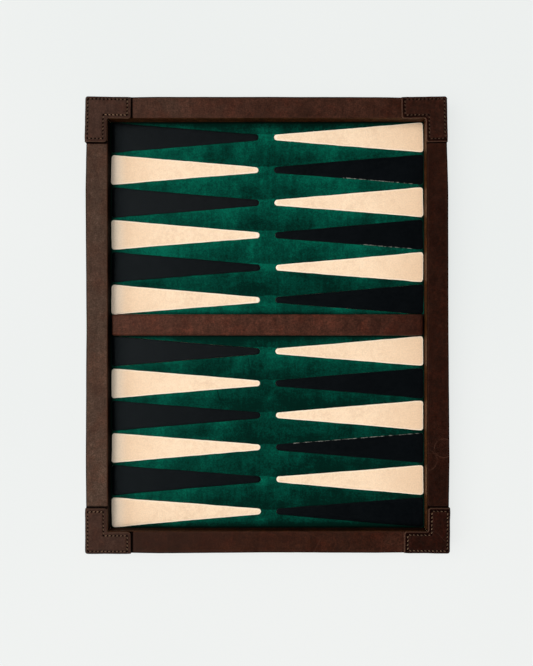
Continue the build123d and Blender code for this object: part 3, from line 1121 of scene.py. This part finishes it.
def patch_layout():
    """Flat shape of the north-east patch, its stitches and its triangles."""
    low, high = box_mm("corner_patch_ne")
    inner = (box_mm("east_rail_leather")[0][0] + 0.4, box_mm("north_rail_leather")[0][1] + 0.4)
    drop = high[2] - low[2]
    corners = [
        (inner[0], low[1], 3.0),
        (high[0] + drop, low[1], 1.2),
        (high[0] + drop, high[1], 0),
        (high[0], high[1], 0),
        (high[0], high[1] + drop, 0),
        (low[0], high[1] + drop, 1.2),
        (low[0], inner[1], 3.0),
        (inner[0], inner[1], 2.5),
    ]
    outline = rounded_loop(corners, 1.1)
    x0, y0 = low[:2] + STITCH_INSET
    x1, y1 = high[:2] - STITCH_INSET
    xi, yi = np.array(inner) + STITCH_INSET
    line = np.array([(x1, y1), (x0, y1), (x0, yi), (xi, yi), (xi, y0), (x1, y0)])
    rows = needle_rows(line)
    extra = beside_stitches(rows)
    bends = []
    for shift in (-3.0, -2.2, -1.4, -0.7, 0.0, 0.7, 1.4, 2.2, 3.0):
        bends += [(high[0] + shift, y) for y in np.arange(low[1] + 2, high[1] - 0.9, 1.7)]
        bends += [(x, high[1] + shift) for x in np.arange(low[0] + 2, high[0] - 0.9, 1.7)]
    bends = np.array(bends)
    bends = bends[nearest(bends, extra) > 0.5]
    spots, faces = flat_mesh(outline, [], (0.2, 0.5, 0.9, 1.4, 2.0), 2.3, np.vstack([extra, bends]))
    return SimpleNamespace(corner=high, outline=outline, line=line, rows=rows, spots=spots, faces=faces)


def settle(points, quarter, corner):
    """The north-east patch's points taken to a quarter: mirrored, turned about its corner and shifted."""
    flip = np.array([*QUARTERS[quarter], 1])
    pivot = np.array([corner[0], corner[1], 0]) * flip
    angle = math.radians(PATCH_TURN[quarter])
    cos, sin = math.cos(angle), math.sin(angle)
    turn = np.array([[cos, sin, 0], [-sin, cos, 0], [0, 0, 1]])
    return (points * flip - pivot) @ turn + pivot + PATCH_SHIFT[quarter]


def patch_dark(layout, quarter, distance, to_line, to_hole):
    """Painted shade on a patch: its edge crease and margin, the stitch line, the holes and the folded sides.
    """
    crease = 0.6 * hill(distance - 1.6, 0.3)
    margin = MARGIN_SHADE[quarter] * ramp((distance - 1.1) / 0.4) * ramp((3.1 - distance) / 0.5)
    groove = 0.35 * hill(to_line, 1.1)
    past_fold = (layout.spots - layout.corner[:2]).max(1)
    fold = ramp(past_fold + 1.4) * ramp(1.05 - past_fold / 7, 0.3)
    holes = ramp(1.4 * hill(to_hole, 0.85))
    return functools.reduce(np.maximum, (crease, margin, groove, fold, holes))


def make_patch(quarter, layout, seed):
    """One corner patch: raw edges rounded and creased, the stitch line sunk, holes pulled in by thread."""
    flip = np.array([*QUARTERS[quarter], 1])
    holes = []
    for first, along, count in layout.rows:
        holes += [first + along * STITCH_PITCH * index for index in range(count + 1)]
    to_line = distance_to(layout.spots, segments_of(layout.line))
    to_hole = nearest(layout.spots, np.array(holes))
    box = np.array([(-FAR, -FAR), layout.corner[:2]])
    top = layout.corner[2]

    def relief(bent, distance):
        pillow = 0.12 * hill(distance - 6.5, 2.5)
        wave = 0.16 * noise_at(bent * flip, 13, seed) + 0.05 * noise_at(bent * flip, 3.5, seed + 9)
        sunk = 0.2 * hill(to_line, 0.7) + 0.5 * hill(to_hole, 0.5) + 0.16 * hill(distance - 1.5, 0.35)
        return pillow + wave - cut_edge(distance, 0.75, 0.9) - sunk - 0.05

    sheet = (layout.outline, layout.spots, layout.faces)
    points, solid, distance = fold_cover(*sheet, box, top, PATCH_ROUND, PATCH_THICK - 0.02, relief)
    marks = {
        "wear_and_highlight": two_skins(0.35 * hill(distance - 0.6, 0.3)),
        "dark": two_skins(patch_dark(layout, quarter, distance, to_line, to_hole)),
        "raw": two_skins(ramp(1 - distance / 0.5) * 0.9, 0.8),
        "tone": np.full(len(points), PATCH_TONE[quarter]),
    }
    name, nodes = f"patch_{quarter}", [f"corner_patch_{quarter}"]
    points = settle(points, quarter, layout.corner)
    piece = make_piece(name, points, solid, PATCH_LEATHER, nodes, marks, merge=0.005)
    matt_where_dark(piece, PATCH_SHADED, top)


def thread_points(centre, along, top, draw):
    """Points of one stitch of two twisted plies, its ends drawn down into their holes."""
    lean = STITCH_LEAN * draw.uniform(0.7, 1.3)
    turn = np.array([[math.cos(lean), -math.sin(lean)], [math.sin(lean), math.cos(lean)]])
    ahead = turn @ along
    side = np.array([-ahead[1], ahead[0]])
    length = STITCH_LENGTH * draw.uniform(0.94, 1.06)
    phase = draw.uniform(0, math.pi)
    points = []
    for share in np.linspace(-1, 1, THREAD_RINGS):
        sink = 0.95 * abs(share) ** 3.2
        size = THREAD_RADIUS * (1 - 0.35 * abs(share) ** 5)
        for angle in np.linspace(0, 2 * math.pi, THREAD_AROUND, endpoint=False):
            lobe = size * (1 + 0.16 * math.cos(2 * (angle + phase + share * 3.2)))
            spot = centre + ahead * share * length / 2 + side * lobe * math.cos(angle)
            points.append((spot[0], spot[1], top - 0.14 + 0.85 * lobe * math.sin(angle) - sink))
    return points


def make_stitching(quarter, layout, seed):
    """The closed line of hand stitching on one patch."""
    draw = random.Random(seed)
    sides = swept_faces(THREAD_RINGS, THREAD_AROUND)
    points, faces, tones = [], [], []
    for (first, along, count), tone in zip(layout.rows, THREAD_TONE[quarter]):
        for index in range(count):
            centre = first + along * STITCH_PITCH * (index + 0.5)
            faces += [tuple(i + len(points) for i in face) for face in sides]
            points += thread_points(centre, along, layout.corner[2], draw)
            tones += [tone] * (THREAD_RINGS * THREAD_AROUND)
    points = settle(np.array(points), quarter, layout.corner)
    name, nodes = f"stitches_{quarter}", [f"corner_stitching_{quarter}"]
    make_piece(name, points, faces, THREAD, nodes, {"tone": tones})


BAR_ROUND = 2.5
BAR_WIDEN = 1.012
BAR_SHIFT = -0.2

# Places along the bar, from its west end to its east end, and its tone mark there
BAR_TONE = ((-1, -0.8, 0, 0.5, 0.8, 1), (0.8, 0.8, 1.0, 0.75, 0.2, 0.1))


def bar_sheet(x, y, drop):
    """Flat outline of the bar's cover, with its triangles: the top and a flap for each side and end."""
    flaps = [(x, -y), (x + drop, -y), (x + drop, y), (x, y), (x, y + drop), (-x, y + drop)]
    corners = [(*spot, 0) for spot in flaps] + [(-spot[0], -spot[1], 0) for spot in flaps]
    outline = rounded_loop(corners, 0.9)
    bends = []
    for shift in (-2.5, -1.7, -0.9, 0.0, 0.9, 1.7, 2.5):
        for sign in (-1, 1):
            bends += [(a, sign * (y + shift)) for a in np.arange(-x + 1.2, x - 1, 2.6)]
            bends += [(sign * (x + shift), b) for b in np.arange(-y + 0.9, y - 0.6, 0.9)]
    return outline, *flat_mesh(outline, [], (0.3,), 2.6, np.array(bends))


def make_bar():
    """The bar's cover: one piece of leather folded down over the core's sides and ends."""
    low, high = box_mm("bar_leather")
    x, y, top = high
    outline, spots, faces = bar_sheet(x, y, top - low[2])
    box = np.array([(-x, -y), (x, y)])

    def relief(bent, distance):
        wave = 0.16 * noise_at(bent, 30, 7) + 0.06 * noise_at(bent, 7, 8)
        return wave - cut_edge(distance, 0.3, 0.4) - 0.05

    sheet = (outline, spots, faces)
    points, solid, _ = fold_cover(*sheet, box, top, BAR_ROUND, LEATHER - 0.02, relief)
    points[:, 1] = points[:, 1] * BAR_WIDEN + BAR_SHIFT
    flat_x, flat_y = np.abs(spots).T
    bend = np.maximum(hill(flat_y - y + 0.6, 0.9), hill(flat_x - x + 0.6, 0.9))
    marks = {
        "wear_and_highlight": two_skins(0.3 * bend),
        # Painted shade, deepening down the bar's long sides
        "dark": two_skins(ramp((flat_y - y - 2) / 8, 0, 0.5)),
        "raw": two_skins(np.zeros(len(spots)), 0.5),
        "tone": np.tile(np.interp(spots[:, 0] / x, *BAR_TONE), 2),
    }
    make_piece("bar_cover", points, solid, BAR_LEATHER, ["bar_leather"], marks, merge=0.005)


def make_lining():
    """The suede sheet under the board, its edge softened."""
    low, high = box_mm("underside_lining")
    outline = rounded_loop(box_corners(low, high, 4), 4.0)
    spots, faces = flat_mesh(outline, [], (0.3, 0.9), 9.0)
    distance = distance_to(spots, segments_of(outline))
    lower = low[2] + cut_edge(distance, 0.3, 0.9) + 0.04 * np.abs(noise_at(spots, 20, 2))
    points, solid = flat_sheet(spots, faces, high[2] - 0.01, lower)
    make_piece("lining_sheet", points, solid, SUEDE, ["underside_lining"])


# ---------------------------------------------------------------- kept CAD nodes


def repaint(material, *nodes):
    """Gives kept CAD nodes their procedural finish."""
    for node in nodes:
        mesh = NODES[node].data
        mesh.materials.clear()
        mesh.materials.append(material)


def finish_hidden_parts():
    """Wood and steel of the parts under the leather."""
    along_x = plain_wood("poplar_core_x", (0.6, 0.5, 0.31), (0.47, 0.36, 0.19), 0, 4.0)
    along_y = plain_wood("poplar_core_y", (0.6, 0.5, 0.31), (0.47, 0.36, 0.19), 1, 4.0)
    repaint(along_x, "north_rail_core", "south_rail_core", "bar_core")
    repaint(along_y, "east_rail_core", "west_rail_core")
    plywood = plain_wood("birch_plywood", (0.67, 0.5, 0.32), (0.55, 0.37, 0.2), 1, 7.0, beside_bar)
    repaint(plywood, "base_panel")
    repaint(plain_wood("spline_wood", (0.55, 0.4, 0.24), (0.42, 0.28, 0.14), 0, 2.5), "mitre_splines")
    repaint(zinc_steel(), "bar_screws", "rail_screws")


# ---------------------------------------------------------------- setting

FLOOR_REACH = 4.0
FLOOR_DROP = 0.00005
FLOOR_GLOW = 0.903
FLOOR_SHARE = (0.13, 0.13, 0.13)
KEY_TILT = math.radians(41)
KEY_AWAY = 8.0
ZENITH, HORIZON = 0.08, 0.6


def make_floor():
    """A wide pale tabletop that glows a little, so that it stays even."""
    f = Finish("pale_floor")
    cloud = f.fit(f.noise(900, 2), 0.3, 0.7)
    colour = f.mix(cloud, (0.8, 0.825, 0.815), (0.83, 0.845, 0.835))
    f.feed(f.shader.inputs["Base Color"], f.mix(1.0, colour, FLOOR_SHARE, "MULTIPLY"))
    f.shader.inputs["Roughness"].default_value = 0.9
    f.shader.inputs["Specular IOR Level"].default_value = 0.0
    f.feed(f.shader.inputs["Emission Color"], colour)
    f.shader.inputs["Emission Strength"].default_value = FLOOR_GLOW
    mesh = bpy.data.meshes.new("floor")
    corners = [(x * FLOOR_REACH, y * FLOOR_REACH, 0) for x, y in ((-1, -1), (1, -1), (1, 1), (-1, 1))]
    mesh.from_pydata(corners, [], [(0, 1, 2, 3)])
    floor = bpy.data.objects.new("floor", mesh)
    floor.location.z = -FLOOR_DROP
    bpy.context.scene.collection.objects.link(floor)
    mesh.materials.append(f.material)


def add_panel(name, size, power, colour, tilt, away):
    """A rectangular soft light that faces the board from the west (tilt over 0) or from straight above."""
    data = bpy.data.lights.new(name, "AREA")
    data.shape = "RECTANGLE"
    data.size, data.size_y = size
    data.energy = power
    data.color = colour
    panel = bpy.data.objects.new(name, data)
    panel.location = (-away * math.sin(tilt), 0, away * math.cos(tilt))
    panel.rotation_euler = (0, -tilt, 0)
    panel.visible_camera = False
    bpy.context.scene.collection.objects.link(panel)
    return panel


def make_light():
    """A large soft window to the west, a matt fill from above, and a dim room lighter towards the horizon."""
    add_panel("west_window", (7.0, 9.5), 720.0, (1.0, 0.99, 0.975), KEY_TILT, KEY_AWAY)
    fill = add_panel("overhead_fill", (6.0, 6.0), 142.0, (1.0, 1.0, 1.0), 0.0, 6.0)
    fill.visible_glossy = False
    world = bpy.data.worlds.new("studio")
    bpy.context.scene.world = world
    world.use_nodes = True
    tree = world.node_tree
    place = tree.nodes.new("ShaderNodeTexCoord")
    split = tree.nodes.new("ShaderNodeSeparateXYZ")
    level = tree.nodes.new("ShaderNodeMapRange")
    level.interpolation_type = "SMOOTHSTEP"
    tree.links.new(place.outputs["Generated"], split.inputs[0])
    tree.links.new(split.outputs["Z"], level.inputs["Value"])
    level.inputs["From Min"].default_value = 0.2
    level.inputs["From Max"].default_value = 0.8
    level.inputs["To Min"].default_value = HORIZON
    level.inputs["To Max"].default_value = ZENITH
    tree.links.new(level.outputs["Result"], tree.nodes["Background"].inputs["Strength"])
    tree.nodes["Background"].inputs["Color"].default_value = (0.97, 0.985, 1.0, 1.0)


def make_camera():
    """Straight above the board, a little south of its middle."""
    data = bpy.data.cameras.new("camera")
    data.sensor_width = 36
    data.lens = 35.25
    camera = bpy.data.objects.new("camera", data)
    camera.location = (-0.00046, -0.00955, 0.75)
    camera.rotation_euler = (0.0004, 0.0007, -0.0009)
    bpy.context.scene.collection.objects.link(camera)
    bpy.context.scene.camera = camera
    bpy.context.scene.view_settings.view_transform = "Standard"


make_playing_surface()
for number, side in enumerate(SIDES):
    Rail(side, 30 + number).make()
layout = patch_layout()
for number, quarter in enumerate(QUARTERS):
    make_patch(quarter, layout, 60 + number)
    make_stitching(quarter, layout, 80 + number)
make_bar()
make_lining()
finish_hidden_parts()
make_floor()
make_light()
make_camera()
